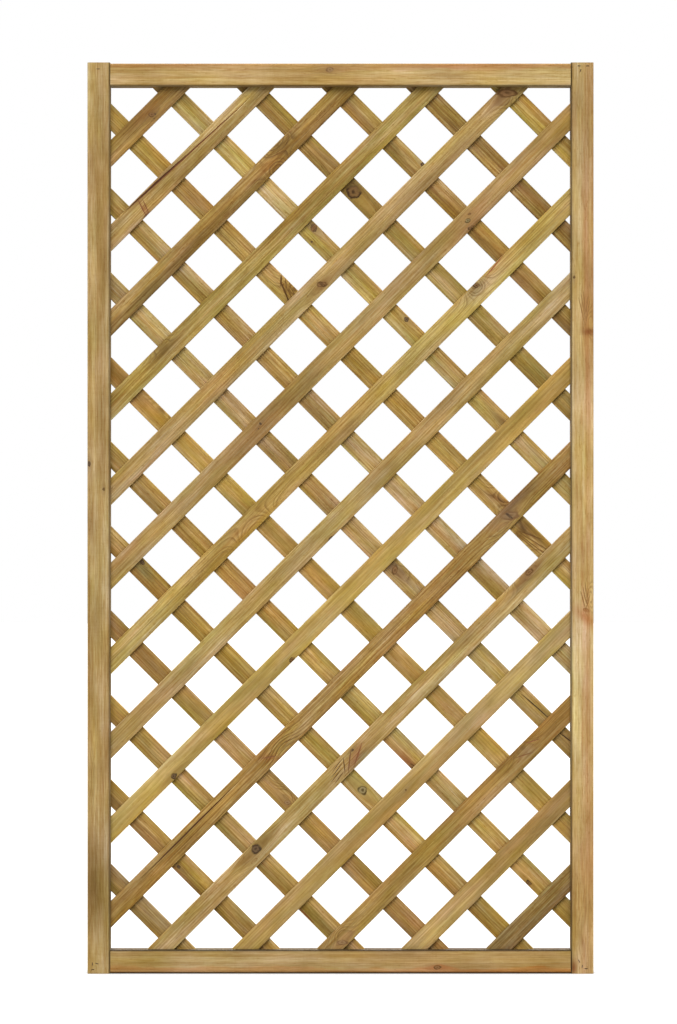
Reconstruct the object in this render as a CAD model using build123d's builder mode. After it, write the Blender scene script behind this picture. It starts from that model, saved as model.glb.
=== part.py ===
from build123d import *
import math
import os

# A framed wooden trellis panel: a square-section frame, grooved along its inner edges, that holds two
# layers of thin laths laid square to each other on the slant. +X is to the right, +Y to the back and
# +Z up; the origin is under the middle of the panel, halfway through its depth. Millimetres.

# Overall size
panel_width = 1000.0
panel_height = 1800.0

# Frame members
stile_width = 45.0
rail_width = 45.0
frame_depth = 45.0
arris_radius = 4.0  # rounded long edges
rail_setback = 2.0  # the rails lie this far inside the ends of the stiles
groove_depth = 12.0
groove_side_gap = 0.25  # beside the laths, on each face
tongue_side_gap = 0.1  # beside the tongue of a rail, on each face
tongue_foot_gap = 0.5  # between the tongue and the foot of its slot
tongue_end_setback = 1.0  # from the outer face of the stile to the end of the tongue
shoulder_gap = 0.3  # between the shoulder of a rail and the stile

# Laths
lath_width = 38.0
lath_thickness = 8.0
laths_per_layer = 15
top_corner_lath = 215.0  # length of the shortest laths, at the top corners, along their middle line
bottom_corner_lath = 229.0  # the same at the bottom corners
lath_arris_radius = 1.2
lath_end_gap = 2.0  # between the cut end of a lath and the foot of the groove
lath_slope = 45.0  # degrees; the front laths rise to the right, the back laths to the left

# Staples that hold the two layers of laths together, one at each crossing, driven from the back
lath_staple_crown = 10.0
lath_staple_wire = 1.2
lath_staple_proud = 0.5  # the crown stands this far out of the back of the lath
lath_staple_cover = 2.0  # wood left in front of the points
crossing_margin = 10.0  # a crossing nearer than this to the frame has no staple

# Staples that pin the corner joints, driven from the front
corner_staple_crown = 6.0
corner_staple_wire = 1.5
corner_staple_sink = 0.8  # the crown lies this deep in the face of the stile
corner_staple_cover = 8.0  # wood left behind the points

# Places of the corner staples: how far across the stile from its inner face, as a share of its width,
# how far across the tongue from its outer edge, as a share of its width, and the turn of the crown
corner_staple_places = {
    ("left", "top"): [(0.53, 0.33, 0)],
    ("right", "top"): [(0.36, 0.15, 0), (0.73, 0.15, 0), (0.42, 0.44, 70)],
    ("left", "bottom"): [(0.78, 0.52, 90), (0.58, 0.55, -20), (0.76, 0.18, 10)],
    ("right", "bottom"): [(0.36, 0.70, -60), (0.50, 0.38, 80), (0.67, 0.24, 0)],
}
staple_fit = 0.05  # clearance all round the wire of every staple

# Worked out from the sizes above
half_width = panel_width / 2
inner_face = half_width - stile_width
groove_width = 2 * (lath_thickness + groove_side_gap)
tongue_thickness = groove_width - 2 * tongue_side_gap
tongue_width = rail_width - groove_depth
slot_length = rail_setback + tongue_width + tongue_foot_gap
front_face = -frame_depth / 2
middle_height = panel_height / 2
slope_sine = math.sin(math.radians(lath_slope))
slope_cosine = math.cos(math.radians(lath_slope))

# The laths end on this rectangle, just short of the foot of the groove
lath_field_side = inner_face + groove_depth - lath_end_gap
lath_field_bottom = rail_setback + tongue_width + lath_end_gap
lath_field_top = panel_height - lath_field_bottom

os.makedirs("parts", exist_ok=True)


def save(part, name):
    """Label a finished piece and write it to its own file."""
    part.label = name
    export_step(part, f"parts/{name}.step")


def staple(crown, wire, leg, spare=0.0, rise=0.0):
    """A square-wire staple with its crown along X, its top at the origin and its legs pointing down.

    With spare on every side it is the pocket for such a staple, which rise opens to the face above.
    """
    with BuildPart() as piece:
        with BuildSketch(Plane.XZ):
            with Locations((0, rise)):
                Rectangle(crown + 2 * spare, rise + leg + spare, align=(Align.CENTER, Align.MAX))
            with Locations((0, -wire - spare)):
                inside = crown - 2 * (wire + spare)
                Rectangle(inside, leg, align=(Align.CENTER, Align.MAX), mode=Mode.SUBTRACT)
        extrude(amount=wire / 2 + spare, both=True)
    return piece.part


def with_bends(blank, radius):
    """Round the two outer bends of a staple."""
    with BuildPart() as bent:
        add(blank)
        fillet(bent.edges().filter_by(Axis.Y).group_by(Axis.Z)[-1], radius)
    return bent.part


def corner_staple_planes(sides, ends):
    """Where the corner staples of the given sides and ends stand, each turned to its own angle."""
    planes = []
    for (side, end), places in corner_staple_places.items():
        if side not in sides or end not in ends:
            continue
        for share_in, share_down, turn in places:
            x = inner_face + share_in * stile_width
            z = rail_setback + share_down * tongue_width
            angle = math.radians(turn)
            planes.append(
                Plane(
                    origin=(
                        x if side == "right" else -x,
                        front_face + corner_staple_sink,
                        panel_height - z if end == "top" else z,
                    ),
                    x_dir=(math.cos(angle), 0, math.sin(angle)),
                    z_dir=(0, -1, 0),
                )
            )
    return planes


corner_staple_leg = frame_depth - corner_staple_sink - corner_staple_cover
corner_staple = staple(corner_staple_crown, corner_staple_wire, corner_staple_leg)
corner_pocket = staple(
    corner_staple_crown, corner_staple_wire, corner_staple_leg, spare=staple_fit, rise=corner_staple_sink
)

# Stiles: full-height uprights, grooved along the inner face, with an open slot at each end that takes
# the tongue of a rail
for side, name in (("left", "left_stile"), ("right", "right_stile")):
    hand = 1 if side == "right" else -1
    middle_x = hand * (inner_face + stile_width / 2)
    with BuildPart() as stile:
        with BuildSketch(Plane.XY):
            with Locations((middle_x, 0)):
                RectangleRounded(stile_width, frame_depth, arris_radius)
            with Locations((hand * (inner_face + groove_depth / 2), 0)):
                Rectangle(groove_depth, groove_width, mode=Mode.SUBTRACT)
        extrude(amount=panel_height)
        for end, inwards in ((0, 1), (panel_height, -1)):
            with BuildSketch(Plane.XY.offset(end)):
                with Locations((middle_x, 0)):
                    Rectangle(stile_width, groove_width)
            extrude(amount=inwards * slot_length, mode=Mode.SUBTRACT)
        with Locations(*corner_staple_planes([side], ["top", "bottom"])):
            add(corner_pocket, mode=Mode.SUBTRACT)
    save(stile.part, name)

# Rails: grooved like the stiles, with a tongue at each end that runs through the slot in the stile
for end, name in (("bottom", "bottom_rail"), ("top", "top_rail")):
    inwards = 1 if end == "bottom" else -1
    outer_edge = rail_setback if end == "bottom" else panel_height - rail_setback
    with BuildPart() as rail:
        with BuildSketch(Plane.YZ):
            with Locations((0, outer_edge + inwards * rail_width / 2)):
                RectangleRounded(frame_depth, rail_width, arris_radius)
            with Locations((0, outer_edge + inwards * (tongue_width + groove_depth / 2))):
                Rectangle(groove_width, groove_depth, mode=Mode.SUBTRACT)
        extrude(amount=inner_face - shoulder_gap, both=True)
        with BuildSketch(Plane.YZ):
            with Locations((0, outer_edge + inwards * tongue_width / 2)):
                Rectangle(tongue_thickness, tongue_width)
        extrude(amount=half_width - tongue_end_setback, both=True)
        with Locations(*corner_staple_planes(["left", "right"], [end])):
            add(corner_pocket, mode=Mode.SUBTRACT)
    save(rail.part, name)

# Staples of the corner joints
with BuildPart() as corner_staples:
    with Locations(*corner_staple_planes(["left", "right"], ["top", "bottom"])):
        add(with_bends(corner_staple, corner_staple_wire))
save(corner_staples.part, "corner_staples")

# The laths of a layer are spread evenly between the shortest one at a top corner and the shortest one
# at the opposite bottom corner; each place is measured from the middle of the panel, square to the laths
field_height = lath_field_top - lath_field_bottom
corner_to_corner = 2 * lath_field_side * slope_sine + field_height * slope_cosine
top_corner_space = top_corner_lath * slope_sine * slope_cosine
bottom_corner_space = bottom_corner_lath * slope_sine * slope_cosine
lath_pitch = (corner_to_corner - top_corner_space - bottom_corner_space) / (laths_per_layer - 1)
lath_places = [
    corner_to_corner / 2 - top_corner_space - count * lath_pitch for count in range(laths_per_layer)
]

# Every crossing that lies clear of the frame, by the places of its front and its back lath
open_side = inner_face - crossing_margin
open_bottom = rail_setback + rail_width + crossing_margin
open_top = panel_height - open_bottom
crossings = {}
for front_place in lath_places:
    for back_place in lath_places:
        x = (back_place - front_place) / (2 * slope_sine)
        z = middle_height + (back_place + front_place) / (2 * slope_cosine)
        if abs(x) <= open_side and open_bottom <= z <= open_top:
            crossings[front_place, back_place] = Plane(
                origin=(x, lath_thickness + lath_staple_proud, z), x_dir=(1, 0, 0), z_dir=(0, 1, 0)
            )

lath_staple_leg = 2 * lath_thickness + lath_staple_proud - lath_staple_cover
lath_staple = staple(lath_staple_crown, lath_staple_wire, lath_staple_leg)
lath_pocket = staple(lath_staple_crown, lath_staple_wire, lath_staple_leg, spare=staple_fit)


def lath(slope, place, thickness, staple_planes):
    """A lath whose middle line passes the middle of the panel at that place, square to its slope.

    A positive thickness lies in front of the plane between the layers, a negative one behind it.
    """
    angle = math.radians(slope)
    along = Axis((0, 0, 0), (math.cos(angle), 0, math.sin(angle)))
    middle = (-place * math.sin(angle), middle_height + place * math.cos(angle))
    with BuildPart() as piece:
        with BuildSketch(Plane.XZ):
            with Locations((0, middle_height)):
                Rectangle(2 * lath_field_side, field_height)
            with Locations(Location(middle, slope)):
                Rectangle(2 * corner_to_corner, lath_width, mode=Mode.INTERSECT)
        extrude(amount=thickness)
        fillet(piece.edges().filter_by(along), lath_arris_radius)
        with Locations(*staple_planes):
            add(lath_pocket, mode=Mode.SUBTRACT)
    return piece.part


# Front laths, from the top left corner, and back laths, from the top right corner
for number, place in enumerate(lath_places, start=1):
    on_front = [plane for (front_place, back_place), plane in crossings.items() if front_place == place]
    on_back = [plane for (front_place, back_place), plane in crossings.items() if back_place == place]
    save(lath(lath_slope, place, lath_thickness, on_front), f"front_lath_{number:02d}")
    save(lath(-lath_slope, place, -lath_thickness, on_back), f"back_lath_{number:02d}")

# Staples of the crossings
with BuildPart() as lath_staples:
    with Locations(*crossings.values()):
        add(with_bends(lath_staple, lath_staple_wire))
save(lath_staples.part, "lath_staples")
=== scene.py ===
import logging
import math
import random
from collections.abc import Callable, Iterator
from dataclasses import dataclass, field
from enum import Enum
from functools import partial, reduce
from typing import Any, ClassVar

import bpy
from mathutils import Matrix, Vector


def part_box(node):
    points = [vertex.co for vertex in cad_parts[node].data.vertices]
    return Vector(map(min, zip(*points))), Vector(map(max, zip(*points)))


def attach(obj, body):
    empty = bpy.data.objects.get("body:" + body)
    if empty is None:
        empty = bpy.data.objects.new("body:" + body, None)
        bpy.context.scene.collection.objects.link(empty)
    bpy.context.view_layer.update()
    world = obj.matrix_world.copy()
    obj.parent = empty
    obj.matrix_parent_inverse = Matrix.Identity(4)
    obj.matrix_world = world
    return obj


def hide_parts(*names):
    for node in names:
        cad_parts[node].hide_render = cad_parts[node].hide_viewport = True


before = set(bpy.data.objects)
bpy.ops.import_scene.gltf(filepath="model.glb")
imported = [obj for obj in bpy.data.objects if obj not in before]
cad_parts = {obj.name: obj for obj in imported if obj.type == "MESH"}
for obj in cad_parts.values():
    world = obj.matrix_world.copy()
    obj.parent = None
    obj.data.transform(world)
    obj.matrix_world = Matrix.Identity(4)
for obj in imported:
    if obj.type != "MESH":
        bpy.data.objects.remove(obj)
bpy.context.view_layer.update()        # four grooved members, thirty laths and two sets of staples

# Dresses a framed wooden trellis panel: pressure-treated pine with its own grain on every board, wire
# staples, a pale floor and soft light. Sizes are in metres, and in a wood's own pattern in millimetres.

log = logging.getLogger("trellis_panel")
MM = 0.001
NODE_PREFIXES = ("ShaderNode", "GeometryNode", "FunctionNode")
CRISP = math.radians(40)  # faces that meet at more than this keep a sharp edge between them
SOFT = {"interpolation_type": "SMOOTHSTEP"}  # for a range that starts and ends gently
Adder = Callable[..., bpy.types.Node]


def linear(colour: str) -> tuple[float, float, float, float]:
    """Turn an sRGB colour into the linear one that a colour socket takes.

    Args:
        colour: Six hex digits, red first.

    Returns:
        Red, green and blue from 0 to 1, and a full alpha.
    """
    parts = [int(colour[at:at + 2], 16) / 255 for at in (0, 2, 4)]
    bent = (part / 12.92 if part <= 0.04045 else ((part + 0.055) / 1.055) ** 2.4 for part in parts)
    return *bent, 1.0


def feed(node: bpy.types.Node, inputs: dict[int | str, Any]) -> None:
    """Give a node what goes into it.

    Args:
        node: The node.
        inputs: What each input takes, by its name or by its number among those in use: a socket, a node,
            whose first output in use is linked, or a plain value.
    """
    used = [socket for socket in node.inputs if socket.enabled]
    for name, value in inputs.items():
        socket = used[name] if isinstance(name, int) else next(one for one in used if one.name == name)
        if isinstance(value, bpy.types.Node):
            value = next(output for output in value.outputs if output.enabled)
        if isinstance(value, bpy.types.NodeSocket):
            node.id_data.links.new(value, socket)
        else:
            socket.default_value = value


def add_node(tree: bpy.types.NodeTree, kind: str, *inputs: Any, **settings: Any) -> bpy.types.Node:
    """Add a node to a tree, with its settings and with what goes into it.

    Args:
        tree: The tree that gets the node.
        kind: Its type, without one of the NODE_PREFIXES, and after a dot its operation.
        *inputs: What its inputs take, in their order, or one dictionary of them by name.
        **settings: Its other properties.

    Returns:
        The new node.
    """
    kind, _, operation = kind.partition(".")
    node = tree.nodes.new(next(start + kind for start in NODE_PREFIXES if hasattr(bpy.types, start + kind)))
    if operation:
        settings["operation"] = operation
    for name, value in settings.items():
        setattr(node, name, value)
    by_name = bool(inputs) and isinstance(inputs[0], dict)
    feed(node, inputs[0] if by_name else dict(enumerate(inputs)))
    return node


def emptied(owner: bpy.types.Material | bpy.types.World) -> Adder:
    """Take every node out of the tree of a material or of the world.

    Args:
        owner: The material or the world.

    Returns:
        The function that adds a node to it.
    """
    owner.use_nodes = True
    owner.node_tree.nodes.clear()
    return partial(add_node, owner.node_tree)


def new_group(
    kind: str, name: str, inputs: dict[str, tuple[str, ...]], outputs: dict[str, tuple[str, ...]]
) -> tuple[bpy.types.NodeTree, Adder, bpy.types.bpy_prop_collection, bpy.types.Node]:
    """Start a node group with named inputs and outputs.

    Args:
        kind: Shader or Geometry.
        name: Its name.
        inputs: The names of its inputs, by the type of their sockets.
        outputs: The names of its outputs, by the type of their sockets.

    Returns:
        The tree, the function that adds a node to it, its inputs, and the node that takes its outputs.
    """
    tree = bpy.data.node_groups.new(name, f"{kind}NodeTree")
    for way, sockets in (("INPUT", inputs), ("OUTPUT", outputs)):
        for socket, labels in sockets.items():
            for label in labels:
                tree.interface.new_socket(label, in_out=way, socket_type=f"NodeSocket{socket}")
    given = tree.nodes.new("NodeGroupInput").outputs
    return tree, partial(add_node, tree), given, tree.nodes.new("NodeGroupOutput")


class Tone(Enum):
    """A tone of treated pine: its early wood, its late wood, and the streaks along it."""

    STRAW = ("C6AA64", "8A6A32", "B6964A")
    CREAM = ("C5A96C", "8A6A3C", "B3985D")
    SAND = ("BFA164", "826438", "AB8D52")
    HONEY = ("C2A25C", "836430", "AE8C47")
    AMBER = ("C09D55", "80602A", "AB863E")
    TAN = ("B79555", "78572D", "9E7E43")
    OLIVE = ("B2944F", "745527", "98803B")
    UMBER = ("AA8A4B", "6B4D26", "906F38")
    IVORY = ("D6B97D", "A2804E", "C8A669")
    WHEAT = ("CEAC70", "987040", "C29660")
    FLAX = ("C0A36B", "886A40", "B09058")
    BUFF = ("CCAE70", "947246", "BA9858")
    RUST = ("C29860", "8C5C2C", "B88244")
    SEPIA = ("9A7C47", "654C2A", "82683A")


class KnotKind(Enum):
    """What a knot looks like: its core, and the ring round it."""

    BROWN = ("7A5832", "402A10")
    DARK = ("5E4834", "44321E")
    RED = ("8E6840", "64441F")
    GREY_GREEN = ("94845A", "54401C")
    PINK = ("9C7C54", "83603A")
    ORANGE = ("A87444", "9E6C3A")
    PALE = ("AE8E58", "8A6838")


@dataclass(frozen=True)
class Mark:
    """A mark in the wood, in millimetres along and across its board."""

    along: float
    across: float

    @property
    def point(self) -> tuple[float, float, float]:
        """Where it is, as a vector."""
        return self.along, 0, self.across


@dataclass(frozen=True)
class Knot(Mark):
    """A knot.

    stretch is how much longer than wide it is, and turn how far its length is turned from the board's,
    in degrees, counter-clockwise as seen from the front.
    """

    radius: float
    kind: KnotKind = KnotKind.BROWN
    stretch: float = 1.3
    turn: float = 0.0

    def sockets(self, place: Any) -> dict[str, Any]:
        """What the group that draws it takes."""
        shape = {"Radius": self.radius, "Stretch": self.stretch, "Turn": math.radians(self.turn)}
        return {"Place": place, "Centre": self.point} | shape


@dataclass(frozen=True)
class Patch(Mark):
    """A soft patch that fades out over its reach along the board and over its width across it."""

    reach: float
    width: float

    def sockets(self, place: Any) -> dict[str, Any]:
        """What the group that draws it takes."""
        return {"Place": place, "Centre": self.point, "Reach": (self.reach, 1, self.width)}


@dataclass(frozen=True)
class Swirl(Patch):
    """A patch where the rings rise into arches; depth is how much more of the late wood shows there."""

    reach: float = 60.0
    width: float = 10.0
    rise: float = 9.0
    depth: float = 0.4


@dataclass(frozen=True)
class Stain(Patch):
    """A patch of another colour, turned like a knot."""

    colour: str
    strength: float = 0.6
    turn: float = 0.0

    def sockets(self, place: Any) -> dict[str, Any]:
        """What the group that draws it takes."""
        return super().sockets(place) | {"Turn": math.radians(self.turn)}


@dataclass(frozen=True)
class Split(Mark):
    """A split along the grain, from its place to its end."""

    end_along: float
    end_across: float
    width: float = 1.6
    colour: str = "4A2A14"

    def sockets(self, place: Any) -> dict[str, Any]:
        """What the group that draws it takes."""
        end = (self.end_along, 0, self.end_across)
        return {"Place": place, "Start": self.point, "End": end, "Width": self.width}


@dataclass(frozen=True)
class Board:
    """How one board was cut, and what shows in it.

    pith is how far the middle of the tree lies behind the board and across it, and low_tone is the tone
    of the wood on the lower side of low_edge, both in millimetres. contrast is how much of the late wood
    shows, figure how strongly the fine lines along the board do, and lightness how light the board is
    against its tone.
    """

    tone: Tone
    pith: tuple[float, float] = (34.0, 6.0)
    ring: float = 4.2
    sway: float = 2.5
    contrast: float = 0.5
    figure: float = 0.85
    lightness: float = 1.0
    low_tone: Tone | None = None
    low_edge: float = 0.0
    marks: tuple[Mark, ...] = ()

    def marks_of(self, kind: type) -> Iterator[Any]:
        """Its marks of one kind, in order."""
        return (mark for mark in self.marks if isinstance(mark, kind))


class PineShading:
    """The shared groups that every pine finish is put together from. All lengths in them are millimetres."""

    def __init__(self) -> None:
        """Build the groups."""
        self.knot = self._knot()
        self.bulge = self._bulge()
        self.split = self._split()
        self.grain = self._grain()

    def _knot(self) -> bpy.types.NodeTree:
        """A knot: it pushes the rings aside and gives its core, its border and its halo.

        Returns:
            The group.
        """
        tree, add, given, result = new_group(
            "Shader",
            "knot",
            {"Vector": ("Place", "Centre"), "Float": ("Radius", "Stretch", "Turn")},
            {"Vector": ("Place",), "Float": ("Core", "Eye", "Border", "Halo")},
        )
        offset = add("VectorMath.SUBTRACT", given["Place"], given["Centre"])
        turned = add("VectorRotate", {"Vector": offset, "Angle": given["Turn"]}, rotation_type="Y_AXIS")
        along, _, across = add("SeparateXYZ", turned).outputs
        near = add("CombineXYZ", add("Math.DIVIDE", along, given["Stretch"]), 0, across)
        near = add("VectorMath.SCALE", near, add("Math.DIVIDE", 1.0, given["Radius"]))
        # No knot is round: noise of its own dents it, and leaves gaps in its border
        spot = add("VectorMath.ADD", near, given["Centre"])
        dents = add("TexNoise", {"Vector": spot, "Scale": 0.9, "Detail": 2.0})
        dent = add("VectorMath.SUBTRACT", dents.outputs["Color"], (0.5, 0.5, 0.5))
        near = add("VectorMath.LENGTH", add("VectorMath.MULTIPLY_ADD", dent, (1.1, 0, 1.1), near))
        inside = add("MapRange", near, 1.2, 0.8, **SOFT)
        # Three rings of the branch's own from its middle to its border
        years = add("Math.SINE", add("Math.MULTIPLY", near, 6 * math.pi))
        core = add("Math.MULTIPLY", inside, add("MapRange", years, -1.0, 1.0, 0.84, 1.0))
        outer = add("MapRange", near, 1.4, 1.05, **SOFT)
        border = add("Math.MULTIPLY", outer, add("MapRange", near, 0.65, 0.95, **SOFT))
        gaps = add("TexNoise", {"Vector": spot, "Scale": 0.55, "Detail": 1.0})
        border = add("Math.MULTIPLY", border, add("MapRange", gaps, 0.38, 0.55, 0.25))
        # The grain gives way over three radii across the board and eleven along it
        along, _, across = add("SeparateXYZ", offset).outputs
        far = add("CombineXYZ", add("Math.MULTIPLY", along, 0.28), 0, across)
        far = add("Math.DIVIDE", add("VectorMath.LENGTH", far), given["Radius"])
        halo = add("MapRange", far, 3.0, 0.5, **SOFT)
        push = add("Math.MULTIPLY", add("Math.MULTIPLY", across, halo), -0.85)
        feed(result, {
            "Place": add("VectorMath.ADD", given["Place"], add("CombineXYZ", 0, 0, push)),
            "Core": core,
            "Eye": add("MapRange", near, 0.5, 0.15, **SOFT),
            "Border": border,
            "Halo": halo,
        })
        return tree

    def _bulge(self) -> bpy.types.NodeTree:
        """A soft mound, used for the arches of a swirl and for a stain.

        Returns:
            The group.
        """
        inputs = {"Vector": ("Place", "Centre", "Reach"), "Float": ("Turn",)}
        tree, add, given, result = new_group("Shader", "bulge", inputs, {"Float": ("Value",)})
        offset = add("VectorMath.SUBTRACT", given["Place"], given["Centre"])
        flat = add("VectorMath.MULTIPLY", offset, (1, 0, 1))
        flat = add("VectorRotate", {"Vector": flat, "Angle": given["Turn"]}, rotation_type="Y_AXIS")
        share = add("VectorMath.DIVIDE", flat, given["Reach"])
        fall = add("Math.MULTIPLY", add("VectorMath.DOT_PRODUCT", share, share), -1.0)
        feed(result, {"Value": add("Math.EXPONENT", fall)})
        return tree

    def _split(self) -> bpy.types.NodeTree:
        """A split: a thin wandering line that tapers to both ends.

        Returns:
            The group.
        """
        inputs = {"Vector": ("Place", "Start", "End"), "Float": ("Width",)}
        tree, add, given, result = new_group("Shader", "split", inputs, {"Float": ("Value",)})
        place, start = given["Place"], given["Start"]
        stretched = add("VectorMath.MULTIPLY", place, (0.02, 0, 0))
        wander = add("TexNoise", {"Vector": stretched, "Scale": 1.0, "Detail": 3.0})
        wander = add("CombineXYZ", 0, 0, add("MapRange", wander, 0.0, 1.0, -0.9, 0.9))
        point = add("VectorMath.ADD", add("VectorMath.MULTIPLY", place, (1, 0, 1)), wander)
        run = add("VectorMath.SUBTRACT", given["End"], start)
        above = add("VectorMath.DOT_PRODUCT", add("VectorMath.SUBTRACT", point, start), run)
        share = add("Math.DIVIDE", above, add("VectorMath.DOT_PRODUCT", run, run), use_clamp=True)
        nearest = add("VectorMath.ADD", add("VectorMath.SCALE", run, share), start)
        taper = add("Math.SINE", add("Math.MULTIPLY", share, math.pi))
        half = add("Math.MAXIMUM", add("Math.MULTIPLY", given["Width"], taper), 0.02)
        reach = add("Math.DIVIDE", add("VectorMath.DISTANCE", point, nearest), half)
        feed(result, {"Value": add("MapRange", reach, 1.0, 0.3, **SOFT)})
        return tree

    def _grain(self) -> bpy.types.NodeTree:
        """Pine: rings round a pith, streaks, clouds, fibres, resin canals and the marks of the saw.

        Returns:
            The group.
        """
        tree, add, given, result = new_group(
            "Shader",
            "pine_grain",
            {
                "Vector": ("Place", "Pith", "Shift"),
                "Float": ("Ring Width", "Rise", "Sway", "Contrast", "Figure", "Tint", "Lightness"),
                "Color": ("Early", "Late", "Streak"),
            },
            {"Color": ("Color",), "Float": ("Roughness", "Height")},
        )
        moved = add("VectorMath.ADD", given["Place"], given["Shift"])
        noises = {}
        # How long each pattern is along the board, through it and across it, in millimetres. The lines
        # stand in for grain that is finer than the eye can part at the distance of a whole panel.
        for name, reach, detail in (
            ("sway", (650.0, 120.0, 90.0), 0.5),
            ("streak", (600.0, 30.0, 9.0), 2.0),
            ("patch", (340.0, 120.0, 70.0), 1.0),
            ("cloud", (110.0, 40.0, 26.0), 3.0),
            ("line", (260.0, 6.0, 3.4), 1.0),
            ("fibre", (30.0, 2.2, 1.8), 2.0),
            ("canal", (9.0, 1.8, 1.8), 0.0),
            ("sawn", (2.8, 30.0, 16.0), 1.0),
        ):
            scaled = add("VectorMath.DIVIDE", moved, reach)
            noises[name] = add("TexNoise", {"Vector": scaled, "Scale": 1.0, "Detail": detail})

        # The year that a place grew in, counted from the pith, and how far into it
        swing = add("MapRange", noises["sway"], 0.25, 0.75, -1.0, 1.0, clamp=False)
        section = add("VectorMath.MULTIPLY", given["Place"], (0, 1, 1))
        radius = add("VectorMath.DISTANCE", section, given["Pith"])
        radius = add("Math.ADD", radius, add("Math.MULTIPLY", swing, given["Sway"]))
        years = add("Math.DIVIDE", add("Math.ADD", radius, given["Rise"]), given["Ring Width"])
        uneven = add("TexNoise", {"W": years, "Scale": 0.55, "Detail": 1.0}, noise_dimensions="1D")
        years = add("Math.MULTIPLY_ADD", uneven, 1.4, years)
        season = add("Math.FRACT", years)
        late = add("MapRange", season, 0.25, 0.82, **SOFT)
        late = add("Math.MULTIPLY", late, add("MapRange", season, 1.0, 0.86, **SOFT))
        strength = add("TexWhiteNoise", {"W": add("Math.FLOOR", years)}, noise_dimensions="1D")
        ring = add("Math.MULTIPLY", late, add("MapRange", strength, 0.0, 1.0, 0.5, 1.15))
        shown = add("Math.MULTIPLY", ring, given["Contrast"], use_clamp=True)

        colour = add("Mix", shown, given["Early"], given["Late"], data_type="RGBA")
        streak = add("MapRange", noises["streak"], 0.42, 0.68, 0.0, 0.9)
        colour = add("Mix", streak, colour, given["Streak"], data_type="RGBA")
        # Clouds turn the wood yellower in one place and greyer in another
        low, high, yellower, greyer = (0.3, 0.3, 0.3), (0.7, 0.7, 0.7), (0.9, 0.985, 0.73), (1.1, 1.015, 1.35)
        hue = noises["cloud"].outputs["Color"]
        tint = add("MapRange", hue, low, high, yellower, greyer, data_type="FLOAT_VECTOR")
        colour = add("VectorMath.MULTIPLY", colour, add("VectorMath.POWER", tint, given["Tint"]))
        # What darkens or lightens the wood: within the figure, and over larger patches of the board
        canal = add("MapRange", noises["canal"], 0.7, 0.8, 1.0, 0.7)
        fine = (
            add("MapRange", noises["line"], 0.3, 0.7, 0.74, 1.2),
            add("MapRange", noises["fibre"], 0.3, 0.7, 0.7, 1.26),
            add("MapRange", noises["sawn"], 0.3, 0.7, 0.95, 1.05),
            canal,
        )
        broad = (
            add("Math.POWER", reduce(partial(add, "Math.MULTIPLY"), fine), given["Figure"]),
            add("MapRange", noises["patch"], 0.3, 0.7, 0.77, 1.2),
            add("MapRange", noises["cloud"], 0.3, 0.7, 0.78, 1.19),
            given["Lightness"],
        )
        # Darker wood is also redder, and loses most of its blue
        shade = add("VectorMath.POWER", reduce(partial(add, "Math.MULTIPLY"), broad), (0.62, 1.0, 1.68))
        # Late wood stands a little proud once the face has dried, and the canals are fine grooves
        height = add("Math.MULTIPLY", ring, 0.06)
        for name, rise in (("line", 0.12), ("fibre", 0.1), ("sawn", 0.06)):
            height = add("Math.MULTIPLY_ADD", noises[name], rise, height)
        feed(result, {
            "Color": add("VectorMath.MULTIPLY", colour, shade),
            "Roughness": add("Math.MULTIPLY_ADD", ring, -0.12, 0.74),
            "Height": add("Math.MULTIPLY_ADD", canal, 0.8, height),
        })
        return tree


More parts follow.
